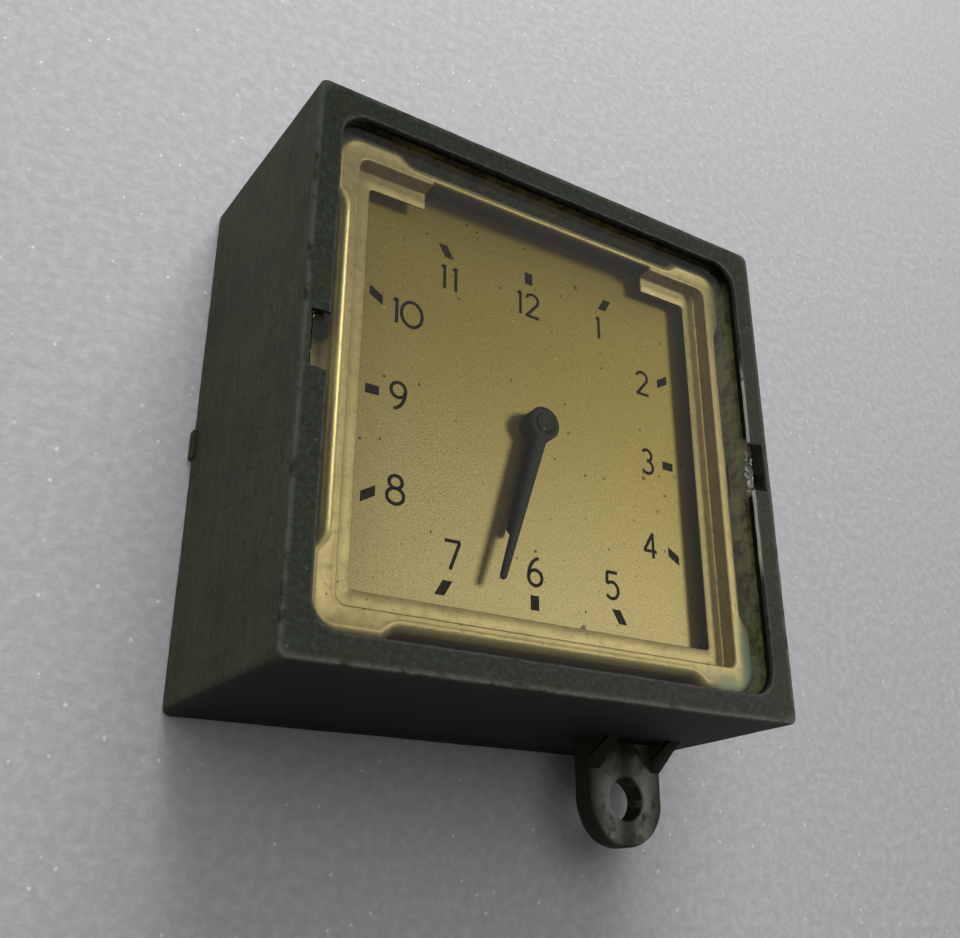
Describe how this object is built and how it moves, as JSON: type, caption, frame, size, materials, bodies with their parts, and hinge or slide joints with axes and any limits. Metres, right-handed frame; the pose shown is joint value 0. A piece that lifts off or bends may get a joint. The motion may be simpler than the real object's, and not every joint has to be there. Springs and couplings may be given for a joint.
{
  "type": "dashboard clock",
  "caption": "Square dashboard clock: die-cast case with fixing lugs, flat glass, brass mask, gilt dial with black hands and a lever movement.",
  "frame": {"origin": "middle of the case's rear rim, on the plane that the clock lies on", "axes": "+Z out of the dial along the hands' arbor, +X towards three o'clock, +Y towards twelve o'clock"},
  "size_m": [0.069, 0.0932, 0.032],
  "materials": {
    "zinc": "aged die-cast zinc, grey-green patina, bare bright edges",
    "clear_glass": "clear, dusty",
    "black_cement": "hard black glazing cement",
    "mask_brass": "lacquered pressed brass, tarnished",
    "gilt_dial": "matt gilt, speckled",
    "black_hand": "satin black",
    "movement_brass": "grained brass",
    "pivot_steel": "polished steel",
    "blued_steel": "blued steel",
    "screw_steel": "bright steel, slotted",
    "cover_steel": "blackened sheet steel",
    "knob_brass": "turned and knurled brass"
  },
  "bodies": {
    "case": {"case": "zinc", "glass": "clear_glass", "glass_cement": "black_cement", "dial_mask": "mask_brass", "dial": "gilt_dial", "dial_feet": "movement_brass", "front_plate": "movement_brass", "back_plate": "movement_brass", "pillars": "movement_brass", "plate_screws": "screw_steel", "movement_screws": "screw_steel", "minute_wheel_post": "pivot_steel", "balance_cock": "movement_brass", "cock_screw": "screw_steel", "click_screw": "screw_steel", "click_spring": "blued_steel", "hairspring": "blued_steel", "back_cover": "cover_steel", "cover_screws": "screw_steel"},
    "minute_works": {"minute_hand": "black_hand", "cannon_pinion": "pivot_steel"},
    "hour_works": {"hour_hand": "black_hand", "hour_wheel": "movement_brass"},
    "minute_wheel": {"minute_wheel": "movement_brass"},
    "setting_works": {"setting_arbor": "pivot_steel", "setting_knob": "knob_brass"},
    "winding_works": {"barrel_arbor": "pivot_steel", "winding_knob": "knob_brass", "ratchet_wheel": "pivot_steel"},
    "click": {"click": "pivot_steel"},
    "barrel": {"barrel": "movement_brass", "barrel_cover": "movement_brass", "mainspring": "blued_steel"},
    "centre_train": {"centre_arbor": "pivot_steel", "centre_wheel": "movement_brass"},
    "third_train": {"third_arbor": "pivot_steel", "third_wheel": "movement_brass"},
    "fourth_train": {"fourth_arbor": "pivot_steel", "fourth_wheel": "movement_brass"},
    "escape_train": {"escape_arbor": "pivot_steel", "escape_wheel": "movement_brass"},
    "pallet": {"pallet_lever": "pivot_steel"},
    "balance": {"balance_staff": "pivot_steel", "balance_wheel": "movement_brass"}
  },
  "joints": [
    {"name": "minute_hand_turn", "type": "hinge", "parent": "case", "child": "minute_works", "pos_m": [0, 0, 0.024], "axis": [0, 0, 1], "continuous": true},
    {"name": "hour_hand_turn", "type": "hinge", "parent": "case", "child": "hour_works", "pos_m": [0, 0, 0.024], "axis": [0, 0, 1], "continuous": true},
    {"name": "minute_wheel_turn", "type": "hinge", "parent": "case", "child": "minute_wheel", "pos_m": [0.0048, 0.00831, 0.022], "axis": [0, 0, 1], "continuous": true},
    {"name": "setting_knob_turn", "type": "hinge", "parent": "case", "child": "setting_works", "pos_m": [0.0096, 0.01663, 0.01], "axis": [0, 0, 1], "continuous": true},
    {"name": "winding_knob_turn", "type": "hinge", "parent": "case", "child": "winding_works", "pos_m": [-0.01122, 0.00648, 0.01], "axis": [0, 0, 1], "continuous": true},
    {"name": "click_swing", "type": "hinge", "parent": "case", "child": "click", "pos_m": [-0.00782, 0.01237, 0.0077], "axis": [0, 0, 1], "range_deg": [0, 20], "stiffness_Nm_per_rad": 0.00002},
    {"name": "fourth_wheel_turn", "type": "hinge", "parent": "case", "child": "fourth_train", "pos_m": [0.00421, -0.01254, 0.014], "axis": [0, 0, 1], "continuous": true},
    {"name": "barrel_turn", "type": "hinge", "parent": "case", "child": "barrel", "pos_m": [-0.01122, 0.00648, 0.013], "axis": [0, 0, 1], "continuous": true},
    {"name": "centre_wheel_turn", "type": "hinge", "parent": "case", "child": "centre_train", "pos_m": [0, 0, 0.014], "axis": [0, 0, 1], "continuous": true},
    {"name": "third_wheel_turn", "type": "hinge", "parent": "case", "child": "third_train", "pos_m": [0.01142, -0.00532, 0.014], "axis": [0, 0, 1], "continuous": true},
    {"name": "escape_wheel_turn", "type": "hinge", "parent": "case", "child": "escape_train", "pos_m": [-0.00456, -0.0133, 0.012], "axis": [0, 0, 1], "continuous": true},
    {"name": "pallet_swing", "type": "hinge", "parent": "case", "child": "pallet", "pos_m": [-0.00992, -0.01135, 0.0115], "axis": [0, 0, 1], "range_deg": [-4, 4]},
    {"name": "balance_swing", "type": "hinge", "parent": "case", "child": "balance", "pos_m": [-0.01602, -0.00913, 0.007], "axis": [0, 0, 1], "range_deg": [-150, 150], "stiffness_Nm_per_rad": 0.0000025}
  ],
  "couplings": [
    {"joint": "hour_hand_turn", "follows": "minute_hand_turn", "ratio": 0.083333},
    {"joint": "minute_wheel_turn", "follows": "minute_hand_turn", "ratio": -0.33333},
    {"joint": "setting_knob_turn", "follows": "minute_hand_turn", "ratio": 1},
    {"joint": "escape_wheel_turn", "follows": "fourth_wheel_turn", "ratio": -10},
    {"joint": "third_wheel_turn", "follows": "fourth_wheel_turn", "ratio": -0.13333},
    {"joint": "centre_wheel_turn", "follows": "fourth_wheel_turn", "ratio": 0.016667},
    {"joint": "barrel_turn", "follows": "fourth_wheel_turn", "ratio": -0.0033333}
  ]
}
